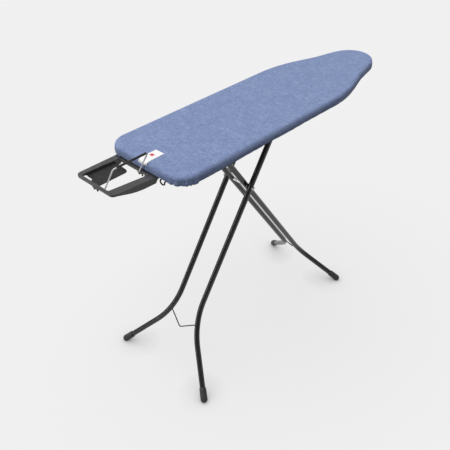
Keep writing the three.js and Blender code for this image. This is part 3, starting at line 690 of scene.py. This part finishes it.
def make_cover():
    """The cover as one cloth: drawn folded, settled, kept off the frame and creased."""
    full, creases = gathers()
    start = np.array([at(*p) for p in cover_points().reshape(-1, 3)])
    start = pushed(start, full + CREASES_BEFORE * creases)
    final = start.copy()
    first = (INNER_ROWS - 2) * AROUND
    move = settle_cloth(start) - start[first:]
    far = np.linalg.norm(move, axis=1)
    share = np.minimum(1, LARGEST_MOVE * MM / np.maximum(far, 1e-9))
    final[first:] += move * share[:, None]
    final = pushed(kept_off_frame(final), CREASES_AFTER * creases)
    hang = np.clip((np.array([row[2] for row in ROWS]) - 30) / 12, 0, 1)
    for row, share in enumerate(hang):
        final[ring(row), 2] -= share * (HEM_DROP * full[row] + HEM_LIFT * creases[row]) * MM
    faces = board_rings(INNER_ROWS + len(ROWS))
    stands_for = ["ironing_cover"]
    made = piece("cover_cloth", final, faces, COTTON, "board", "cotton_cover", stands_for, None)
    weld(made)
    solidify(made, CLOTH_THICKNESS * MM, -1.0)


# ---------------------------------------------------------------- pad under the cover
def make_pad():
    """One padded body inside the cover, with a soft round edge."""
    inset, top, bottom, soft = 3.4, 1001.2, 993.2, 11.0
    middle, half = (top + bottom) / 2, (top - bottom) / 2
    rings = []
    start = EDGE - OUTWARD * (inset + soft)
    for k in range(10):
        share = k / 10
        rings.append((SPINE * (1 - share) + start * share, top))
    for k in range(9):
        angle = math.pi * k / 8
        plan = EDGE - OUTWARD * (inset + soft * (1 - math.sin(angle)))
        rings.append((plan, middle + half * math.cos(angle)))
    for k in range(9, -1, -1):
        share = k / 10
        rings.append((SPINE * (1 - share) + start * share, bottom))
    vertices = []
    for plan, height in rings:
        vertices += [at(x, y, height) for x, y in plan]
    faces = board_rings(len(rings))
    made = piece("pad_felt", vertices, faces, FELT, "board", "pad", ["foam_pad"], None)
    weld(made)


make_pad()
make_cover()


# ---------------------------------------------------------------- legs, braces and feet
PIVOT_Z = 950
CROSS_Z = 709  # height of the axle where the pairs cross
FOOT_Z = 11.5
TUBE_RADIUS = 11
SIDES = (("near", -1), ("far", 1))

# A pair of legs: x of its line at PIVOT_Z and how x grows with height, y at the top and at the
# foot, height of the bend's corner, bend radius, and how far the tube goes on past PIVOT_Z.
OUTER = {
    "x": -12,
    "slope": 0.6415,
    "y": 60,
    "foot_y": 236,
    "corner": 212,
    "bend": 300,
    "head": 14,
    "body": "outer_legs",
}
CROSS_X = OUTER["x"] + OUTER["slope"] * (CROSS_Z - PIVOT_Z)
INNER_SLOPE = -0.71
SLIDER_X = CROSS_X - INNER_SLOPE * (CROSS_Z - PIVOT_Z)
INNER = {
    "x": SLIDER_X,
    "slope": INNER_SLOPE,
    "y": 36.5,
    "foot_y": 196,
    "corner": 162,
    "bend": 165,
    "head": 10,
    "body": "inner_legs",
}


def on_leg(leg, z, y):
    """The place on a pair's sloping plane at a height."""
    return np.array([leg["x"] + leg["slope"] * (z - PIVOT_Z), y, z])


def leg_corners(leg, sign):
    drop = np.array([leg["slope"], 0, 1.0])
    drop /= np.linalg.norm(drop)
    top = on_leg(leg, PIVOT_Z, sign * leg["y"]) + drop * leg["head"]
    corner = on_leg(leg, leg["corner"], sign * leg["y"])
    return top, corner, on_leg(leg, FOOT_Z, sign * leg["foot_y"])


def make_leg(kind, leg, name, sign):
    top, corner, foot = leg_corners(leg, sign)
    end = foot + (corner - foot) * 2.5 / np.linalg.norm(corner - foot)
    path = bend_path([top, corner, end], [leg["bend"]], math.radians(3))
    facts = {"sides": 40, "edge": 0.4, "bore": TUBE_RADIUS - 1.2}
    facts |= {"slot": "black_tube", "stands_for": [f"{kind}_leg_{name}"]}
    wire(f"{kind}_tube_{name}", path, TUBE_RADIUS, BLACK_PAINT, leg["body"], **facts)


def make_foot(kind, leg, name, sign):
    """A moulded cap with a ball end, cut flat where it stands on the floor."""
    _, corner, foot = leg_corners(leg, sign)
    ball, length, bore = 14.0, 44.0, TUBE_RADIUS + 0.15
    profile = [(0, -ball)]
    angles = np.linspace(0, math.pi / 2, 10)[1:]
    profile += [(ball * math.sin(a), -ball * math.cos(a)) for a in angles]
    profile += [(ball - 0.05, 6), (ball - 0.9, 6.6), (ball - 0.9, 7.6), (ball - 0.1, 8.2)]
    profile += [(ball - 0.3, length - 9), (ball - 0.7, length - 3)]
    profile += [(ball - 1.3, length - 1), (ball - 2.0, length)]
    profile += [(bore + 0.5, length - 0.2), (bore, length - 0.8), (bore, 2.2), (0, 2.2)]
    vertices, faces = turned(profile, foot, corner - foot, 40)
    vertices = [at(*v) for v in vertices]
    facts = {"slot": "black_plastic", "stands_for": [f"{kind}_foot_{name}"]}
    made = piece(f"{kind}_cap_{name}", vertices, faces, RUBBER, leg["body"], **facts)
    cut = bmesh.new()
    cut.from_mesh(made.data)
    everything = cut.verts[:] + cut.edges[:] + cut.faces[:]
    plane = {"plane_co": (0, 0, 0), "plane_no": (0, 0, -1)}
    sliced = bmesh.ops.bisect_plane(cut, geom=everything, clear_outer=True, **plane)
    rim = [e for e in sliced["geom_cut"] if isinstance(e, bmesh.types.BMEdge)]
    bmesh.ops.contextual_create(cut, geom=rim)
    bmesh.ops.recalc_face_normals(cut, faces=cut.faces)
    cut.to_mesh(made.data)
    cut.free()
    made.data.shade_smooth()
    made.data.set_sharp_from_angle(angle=SHARP)


def splay_at(leg, z):
    """How far from the middle a leg's centre line lies at a height."""
    path = bend_path(leg_corners(leg, 1), [leg["bend"]], math.radians(1))
    order = np.argsort(path[:, 2])
    return float(np.interp(z, path[order, 2], path[order, 1]))


def make_brace(kind, leg, end_z, vertex_z):
    """The thin V-shaped rod between a pair's tubes; its ends go 1 mm into the tubes' surface."""
    rod = 2.3
    end_y = splay_at(leg, end_z) - TUBE_RADIUS + 1.0
    left, right = on_leg(leg, end_z, -end_y), on_leg(leg, end_z, end_y)
    vertex = on_leg(leg, vertex_z, 0)
    path = bend_path([left, vertex, right], [10], math.radians(8))
    facts = {"slot": "black_tube", "stands_for": [f"{kind}_leg_brace"]}
    wire(f"{kind}_rod", path, rod, ROD_PAINT, leg["body"], 14, 0.3, **facts)


for label, leg in (("outer", OUTER), ("inner", INNER)):
    for name, sign in SIDES:
        make_leg(label, leg, name, sign)
        make_foot(label, leg, name, sign)
make_brace("outer", OUTER, 209, 171)
make_brace("inner", INNER, 195, 156)


# ---------------------------------------------------------------- bail and lever
BAIL_AXIS = (11.5, 961)  # y and z of the line that the bail turns about
BAIL_X = (-769.6, -633.8)
BAIL_TOP = (-41, 1053)  # y and z of its upper run
BAIL_RADIUS = 2.3
LEVER_RADIUS = 2.6


def make_bail():
    """The folding wire bail and the ribbed sleeve on its upper run."""
    outer, inner = BAIL_X
    foot_outer, foot_inner = (outer, *BAIL_AXIS), (inner, *BAIL_AXIS)
    head_outer, head_inner = (outer, *BAIL_TOP), (inner, *BAIL_TOP)
    corners = [(outer - 12.9, *BAIL_AXIS), foot_outer, head_outer]
    corners += [head_inner, foot_inner, (inner + 11, *BAIL_AXIS)]
    path = bend_path(corners, [2.7, 9, 6, 2.7], math.radians(9))
    facts = {"slot": "zinc_steel", "stands_for": ["bail_wire"]}
    wire("bail_rod", path, BAIL_RADIUS, ZINC, "bail", 18, 0.4, **facts)
    span = (outer + 14, inner - 7)
    profile = [(2.5, 0.2), (3.4, 0), (3.8, 0.5), (3.8, 1.4), (3.6, 1.8), (3.6, 3.0), (3.8, 3.4)]
    length = span[1] - span[0]
    mirrored = [(r, length - h) for r, h in reversed(profile)]
    vertices, faces = turned([*profile, *mirrored], (span[0], *BAIL_TOP), (1, 0, 0), 28)
    facts = {"slot": "black_plastic", "stands_for": ["bail_sleeve"]}
    piece("bail_grip", [at(*v) for v in vertices], faces, BLACK_PLASTIC, "bail", **facts)


def make_lever():
    """One bent wire: the pull rod's crank, the axle, and the loop for the fingers."""
    x, z, near, outside, crank = -545, 952, -63.5, -84, -74
    loop_x, loop_z, tight, round_bend = -611, 939, 3.6, 9
    corners = [(x, crank, 986), (x, crank, z), (x, near, z)]
    corners += [(loop_x, near, z), (loop_x, near, loop_z)]
    corners += [(loop_x, outside, loop_z), (loop_x, outside, z)]
    corners += [(x, outside, z), (x, outside + 7.3, z)]
    bends = [tight, tight, tight, round_bend, round_bend, tight, tight]
    path = bend_path(corners, bends, math.radians(9))
    facts = {"slot": "black_tube", "stands_for": ["height_lever"]}
    wire("squeeze_wire", path, LEVER_RADIUS, ROD_PAINT, "lever", 16, 0.4, **facts)


make_bail()
make_lever()


# ---------------------------------------------------------------- steel mesh and rim
MESH_BOTTOM, MESH_TOP = 991.3, 992.7
MESH_INSET = 9.0  # the strands end this far inside the board's outline
MESH_PITCH = (16.0, 7.5)
STRAND = 1.2


def half_width(x, inset):
    """Half the board's width at a place along it, less an inset."""
    near = EDGE[EDGE[:, 1] <= 0.01] - OUTWARD[EDGE[:, 1] <= 0.01] * inset
    order = np.argsort(near[:, 0])
    return float(np.interp(x, near[order, 0], -near[order, 1], left=0, right=0))


def make_mesh_top():
    """Expanded steel: a staggered lattice of slim strands inside a plain border."""
    pitch_x, pitch_y = MESH_PITCH
    vertices, faces = [], []

    def strand_between(a, b):
        a, b = np.array(a, float), np.array(b, float)
        along = (b - a) / np.linalg.norm(b - a)
        across = np.array([-along[1], along[0]]) * STRAND / 2
        corners = [a - across, b - across, b + across, a + across]
        base = len(vertices)
        for height in (MESH_BOTTOM, MESH_TOP):
            vertices.extend([(x, y, height) for x, y in corners])
        faces.append((base, base + 3, base + 2, base + 1))
        faces.append((base + 4, base + 5, base + 6, base + 7))
        faces.extend(ring_faces(base, base + 4, 4))

    for column in range(-40, 41):
        for row in range(-25, 26):
            if (column + row) % 2:
                continue
            x, y = column * pitch_x, row * pitch_y
            for step in ((pitch_x, pitch_y), (pitch_x, -pitch_y)):
                a, b = (x, y), (x + step[0], y + step[1])
                room = min(half_width(p[0], MESH_INSET) - abs(p[1]) for p in (a, b))
                farthest = max(abs(a[0]), abs(b[0]))
                if room > 0 and farthest < HALF_LENGTH - MESH_INSET:
                    strand_between(a, b)
    facts = {"slot": "frame_steel", "stands_for": ["mesh_top"]}
    piece("steel_mesh", [at(*v) for v in vertices], faces, GREY_PAINT, "board", **facts)
    border = []
    for inset, height in ((2.4, MESH_BOTTOM), (2.4, MESH_TOP), (22, MESH_TOP), (22, MESH_BOTTOM)):
        border += [at(x, y, height) for x, y in EDGE - OUTWARD * inset]
    piece("mesh_border", border, board_rings(4, closed=True), GREY_PAINT, "board", "frame_steel")


def make_rim():
    """A rolled angle round the board: a flange under the mesh and a wall downwards."""
    top, bottom, outside, wall, flange = 991.0, 974.0, 2.2, 1.5, 13.0
    inside = outside + wall
    profile = [(outside, top - 1.0), (outside + 0.3, top - 0.3), (outside + 1.0, top)]
    profile += [(flange + outside, top), (flange + outside, top - wall)]
    profile += [(inside + 1.2, top - wall), (inside, top - wall - 1.2)]
    profile += [(inside, bottom + 0.3), (inside - 0.4, bottom)]
    profile += [(outside + 0.4, bottom), (outside, bottom + 0.4)]
    vertices = []
    for inset, height in profile:
        vertices += [at(x, y, height) for x, y in EDGE - OUTWARD * inset]
    faces = board_rings(len(profile), closed=True)
    piece("rim_angle", vertices, faces, GREY_PAINT, "board", "frame_steel", ["rim_frame"])


make_mesh_top()
make_rim()


# ---------------------------------------------------------------- label
LABEL_HALF_WIDTH = 20.0
LABEL_END_X = -549.0
LABEL_LAP = 5  # how far it goes down the skirt
LABEL_LIFT = 0.45
LABEL_THICKNESS = 0.35


def cover_place(distance):
    """x and z just off the cover's middle line, by distance inwards from the foot of its roll."""
    if distance >= ROLL * math.pi / 2:
        return -HALF_LENGTH + ROLL + distance - ROLL * math.pi / 2, TOP_Z + LABEL_LIFT
    if distance < 0:
        return -HALF_LENGTH - LABEL_LIFT, TOP_Z - ROLL + distance
    angle, radius = distance / ROLL, ROLL + LABEL_LIFT
    x = -HALF_LENGTH + ROLL - radius * math.cos(angle)
    return x, TOP_Z - ROLL + radius * math.sin(angle)


def make_label_patch():
    """A sewn label near the tail that laps over the board's end."""
    count_x, count_y = 26, 12
    total = LABEL_END_X + HALF_LENGTH - ROLL + ROLL * math.pi / 2 + LABEL_LAP
    vertices, faces = [], []
    for i in range(count_x + 1):
        x, z = cover_place(-LABEL_LAP + total * i / count_x)
        for j in range(count_y + 1):
            y = -LABEL_HALF_WIDTH + 2 * LABEL_HALF_WIDTH * j / count_y
            vertices.append(at(x, y, z))
    for i in range(count_x):
        for j in range(count_y):
            a = i * (count_y + 1) + j
            faces.append((a, a + 1, a + count_y + 2, a + count_y + 1))
    made = piece("label_patch", vertices, faces, LABEL, "board", "label", ["cover_label"], None)
    solidify(made, LABEL_THICKNESS * MM, 1.0)
    return made


label_patch = make_label_patch()


# ---------------------------------------------------------------- CAD nodes that stay
def dress(node, material, ease):
    """A material and eased edges for a CAD node. Its mesh and its place stay as they are."""
    obj = nodes[node]
    obj.data.materials.clear()
    obj.data.materials.append(material)
    obj.data.shade_smooth()
    weld = obj.modifiers.new("weld", "WELD")
    weld.merge_threshold = WELD_DISTANCE
    bevel = obj.modifiers.new("ease", "BEVEL")
    bevel.width = ease * MM
    bevel.segments = 2
    bevel.limit_method = "ANGLE"
    bevel.angle_limit = math.radians(40)
    bevel.use_clamp_overlap = True
    obj.modifiers.new("normals", "WEIGHTED_NORMAL")


for place in ("tail", "middle", "hinge", "nose"):
    dress(f"cross_brace_{place}", GREY_PAINT, 0.35)
dress("lever_bracket", GREY_PAINT, 0.35)
for name, _ in SIDES:
    dress(f"slide_rail_{name}", GREY_PAINT, 0.35)
    dress(f"hinge_bracket_{name}", GREY_PAINT, 0.35)
    dress(f"rest_screw_{name}", ZINC, 0.3)
    dress(f"rest_spacer_{name}", BLACK_PLASTIC, 0.3)
    dress(f"hinge_cap_{name}", ZINC, 0.5)
    dress(f"slider_cap_{name}", ZINC, 0.5)
    dress(f"slider_bush_{name}", NYLON, 0.5)
    dress(f"axle_washer_{name}", ZINC, 0.2)
    dress(f"axle_nut_{name}", ZINC, 0.6)
for node in ("comb_pin_tail", "comb_pin_middle", "height_comb", "pull_rod"):
    dress(node, ZINC, 0.3)
for node in ("hinge_axle", "slider_bar", "scissor_axle", "axle_spacer"):
    dress(node, ZINC, 0.3)
dress("rest_frame", REST_PLASTIC, 0.6)
for node in ("rest_plate", "rest_clip_outer", "rest_clip_inner"):
    dress(node, BLACK_PLASTIC, 0.6)


# ---------------------------------------------------------------- stage and light
FLOOR_GLOW = 0.66  # the seamless white of the studio, as the camera sees it
FLOOR_MATTE = 0.225  # the part of the floor's brightness that shows shadows
FLOOR_BOUNCE = 0.14  # what the floor throws back up
CONTACT_REACH = 0.10  # a painted contact shadow darkens the floor's glow as far as this around the feet, metres
BACKDROP_WHITE = 0.863
ROOM_FILL = 0.13
ROOM_SHINE = 0.27  # what shiny parts mirror of the room
FLOOR_HALF = 40  # metres


def grey(value):
    return (value, value, value, 1)


def make_stage():
    """A pale seamless floor that the paint mirrors.

    It throws little light back up, so that the sides of the board stay darker than its top.
    """
    mesh = bpy.data.meshes.new("floor")
    signs = ((-1, -1), (1, -1), (1, 1), (-1, 1))
    corners = [(x * FLOOR_HALF, y * FLOOR_HALF, 0) for x, y in signs]
    mesh.from_pydata(corners, [], [(0, 1, 2, 3)])
    floor = bpy.data.objects.new("floor", mesh)
    scene.collection.objects.link(floor)
    floor.location.z = -0.0002
    material = bpy.data.materials.new("pale_floor")
    material.use_nodes = True
    tree = material.node_tree
    tree.nodes.clear()
    out = tree.nodes.new("ShaderNodeOutputMaterial")
    rays = tree.nodes.new("ShaderNodeLightPath")
    either = tree.nodes.new("ShaderNodeMixShader")
    both = tree.nodes.new("ShaderNodeAddShader")
    glow = tree.nodes.new("ShaderNodeEmission")
    glow.inputs["Color"].default_value = grey(1)
    # The floor's glow is multiplied by ambient occlusion: a painted contact shadow around the feet
    # and legs.
    painted_contact_shadow = tree.nodes.new("ShaderNodeAmbientOcclusion")
    painted_contact_shadow.inputs["Distance"].default_value = CONTACT_REACH
    painted_contact_shadow.samples = 8
    shaded = tree.nodes.new("ShaderNodeMath")
    shaded.operation = "MULTIPLY"
    shaded.inputs[1].default_value = FLOOR_GLOW
    tree.links.new(painted_contact_shadow.outputs["AO"], shaded.inputs[0])
    tree.links.new(shaded.outputs["Value"], glow.inputs["Strength"])
    bounce = tree.nodes.new("ShaderNodeBsdfDiffuse")
    bounce.inputs["Color"].default_value = grey(FLOOR_BOUNCE)
    matte = tree.nodes.new("ShaderNodeBsdfDiffuse")
    matte.inputs["Color"].default_value = grey(FLOOR_MATTE)
    bright = tree.nodes.new("ShaderNodeMath")
    bright.operation = "MAXIMUM"
    tree.links.new(rays.outputs["Is Camera Ray"], bright.inputs[0])
    tree.links.new(rays.outputs["Is Glossy Ray"], bright.inputs[1])
    tree.links.new(bright.outputs["Value"], either.inputs["Fac"])
    tree.links.new(bounce.outputs["BSDF"], either.inputs[1])
    tree.links.new(glow.outputs["Emission"], both.inputs[0])
    tree.links.new(matte.outputs["BSDF"], both.inputs[1])
    tree.links.new(both.outputs["Shader"], either.inputs[2])
    # Seen from below, the floor is clear, so that the underside of the board can be looked at.
    facing = tree.nodes.new("ShaderNodeNewGeometry")
    clear = tree.nodes.new("ShaderNodeBsdfTransparent")
    from_below = tree.nodes.new("ShaderNodeMixShader")
    tree.links.new(facing.outputs["Backfacing"], from_below.inputs["Fac"])
    tree.links.new(either.outputs["Shader"], from_below.inputs[1])
    tree.links.new(clear.outputs["BSDF"], from_below.inputs[2])
    tree.links.new(from_below.outputs["Shader"], out.inputs["Surface"])
    mesh.materials.append(material)
    return floor


def add_lamp(name, kind, place, aim, power, **facts):
    data = bpy.data.lights.new(name, kind)
    data.energy = power
    for key, value in facts.items():
        setattr(data, key, value)
    lamp = bpy.data.objects.new(name, data)
    scene.collection.objects.link(lamp)
    lamp.location = place
    lamp.rotation_euler = (Vector(aim) - Vector(place)).to_track_quat("-Z", "Y").to_euler()
    lamp.visible_camera = False
    return lamp


def add_strip(name, place, aim, power, floor):
    """A long soft box beside the board. It doesn't light the floor, so no bright patch shows."""
    lamp = add_lamp(name, "AREA", place, aim, power, shape="RECTANGLE", size=0.6, size_y=5.2)
    skipped = bpy.data.collections.new(f"{name}_skips")
    skipped.objects.link(floor)
    lamp.light_linking.receiver_collection = skipped
    skipped.collection_objects[0].light_linking.link_state = "EXCLUDE"


def make_world():
    """A plain white room: one strength each for light, for reflections and for the camera."""
    world = bpy.data.worlds.new("studio")
    world.use_nodes = True
    tree = world.node_tree
    light = tree.nodes["Background"]
    light.inputs["Color"].default_value = grey(1)
    light.inputs["Strength"].default_value = ROOM_FILL
    seen = tree.nodes.new("ShaderNodeBackground")
    seen.inputs["Color"].default_value = grey(1)
    seen.inputs["Strength"].default_value = BACKDROP_WHITE
    mirrored = tree.nodes.new("ShaderNodeBackground")
    mirrored.inputs["Color"].default_value = grey(1)
    mirrored.inputs["Strength"].default_value = ROOM_SHINE
    rays = tree.nodes.new("ShaderNodeLightPath")
    shine = tree.nodes.new("ShaderNodeMixShader")
    tree.links.new(rays.outputs["Is Glossy Ray"], shine.inputs["Fac"])
    tree.links.new(light.outputs["Background"], shine.inputs[1])
    tree.links.new(mirrored.outputs["Background"], shine.inputs[2])
    either = tree.nodes.new("ShaderNodeMixShader")
    tree.links.new(rays.outputs["Is Camera Ray"], either.inputs["Fac"])
    tree.links.new(shine.outputs["Shader"], either.inputs[1])
    tree.links.new(seen.outputs["Background"], either.inputs[2])
    tree.links.new(either.outputs["Shader"], tree.nodes["World Output"].inputs["Surface"])
    scene.world = world


studio_floor = make_stage()
make_world()
add_lamp("sky", "SUN", (-0.5, 0.6, 4), (0, 0, 0), 2.62, angle=math.radians(75))
add_lamp("underside_fill", "SUN", (0.2, 0.1, -3), (0, 0, 0), 0.55, angle=math.radians(20))
add_strip("left_strip", (-5.2, 2.9, 3.0), (0, 0, 0.6), 94, studio_floor)
add_strip("right_strip", (2.9, -5.4, 2.3), (0, 0, 0.5), 26, studio_floor)
scene.view_settings.view_transform = "Standard"
